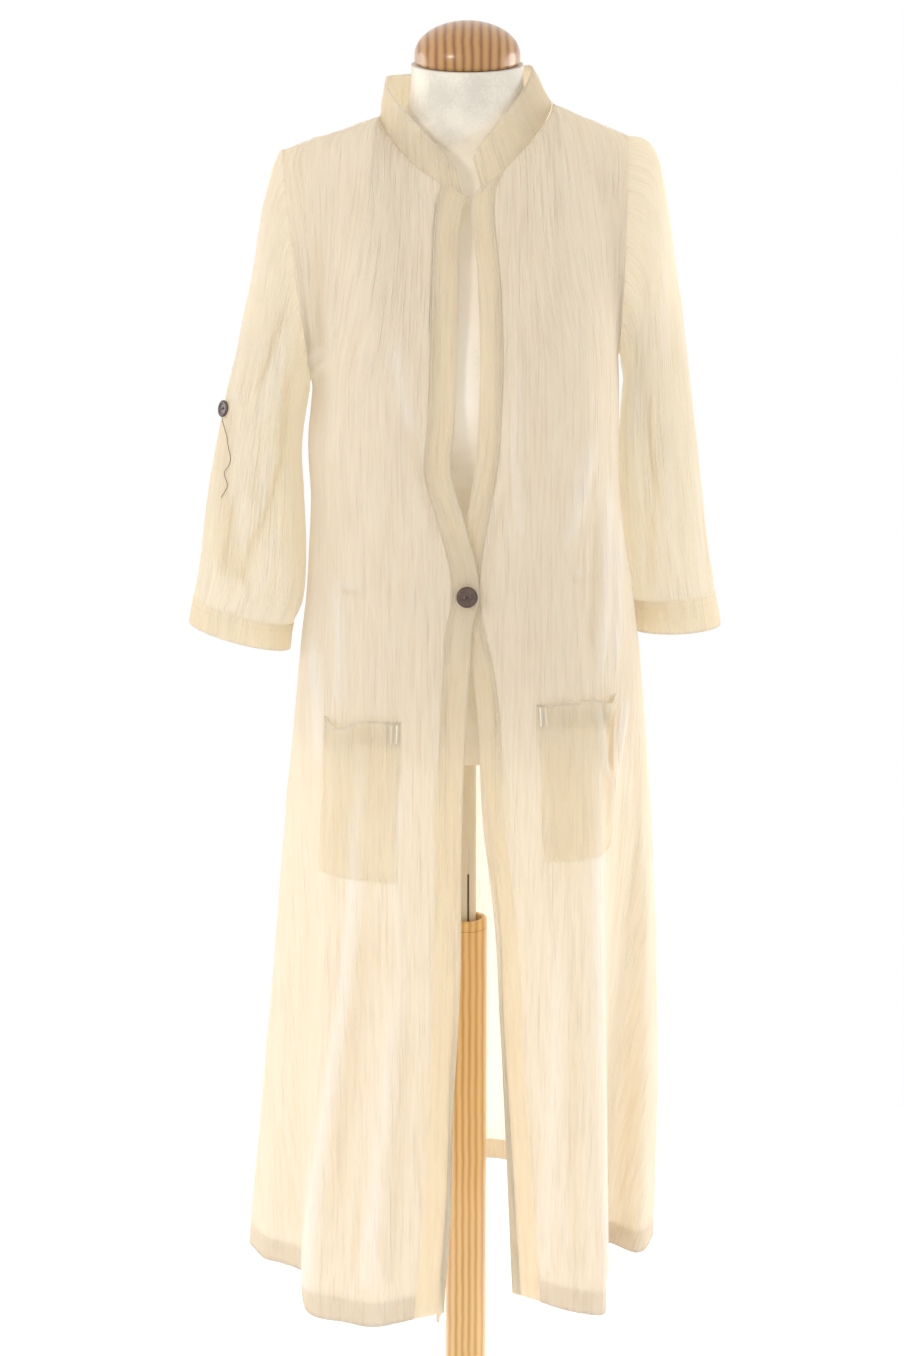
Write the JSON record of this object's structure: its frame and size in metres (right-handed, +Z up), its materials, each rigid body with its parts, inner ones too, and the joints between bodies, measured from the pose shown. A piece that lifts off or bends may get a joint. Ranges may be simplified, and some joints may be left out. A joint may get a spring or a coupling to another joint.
{
  "type": "kimono jacket on dress form",
  "caption": "Long thin cotton kimono jacket with a stand collar, three-quarter sleeves and patch pockets, buttoned at the waist, on a limbless dress form with a wooden stand.",
  "frame": {"origin": "centre of the stand base's underside, on the floor and on the pole's axis", "axes": "+Z up along the pole, -Y the way the front faces, -X the wearer's right"},
  "size_m": [0.535, 0.4044, 1.5519],
  "materials": {
    "cotton": "thin crinkled plain weave, ecru, lets light through",
    "jersey": "off-white cotton jersey",
    "pine": "varnished pine",
    "tube": "cream paint",
    "brown_button": "turned brown shell or wood",
    "dark_button": "satin",
    "dark_thread": "thin sewing thread"
  },
  "bodies": {
    "stand": {"base": "pine", "post": "pine"},
    "form": {"pole": "tube", "torso": "jersey", "neck_cap": "pine", "front_right": "cotton", "front_left": "cotton", "back": "cotton", "sleeve_right": "cotton", "sleeve_left": "cotton", "cuff_right": "cotton", "cuff_left": "cotton", "collar": "cotton", "band_right": "cotton", "band_left": "cotton", "pocket_right": "cotton", "pocket_left": "cotton", "sleeve_tab_right": "cotton", "sleeve_tab_left": "cotton", "button_front": "brown_button", "button_sleeve_right": "dark_button", "button_sleeve_left": "dark_button", "thread_sleeve_right": "dark_thread"}
  },
  "joints": [
    {"name": "pole_height", "type": "slide", "parent": "stand", "child": "form", "axis": [0, 0, 1], "range_m": [-0.17, 0.15]}
  ]
}
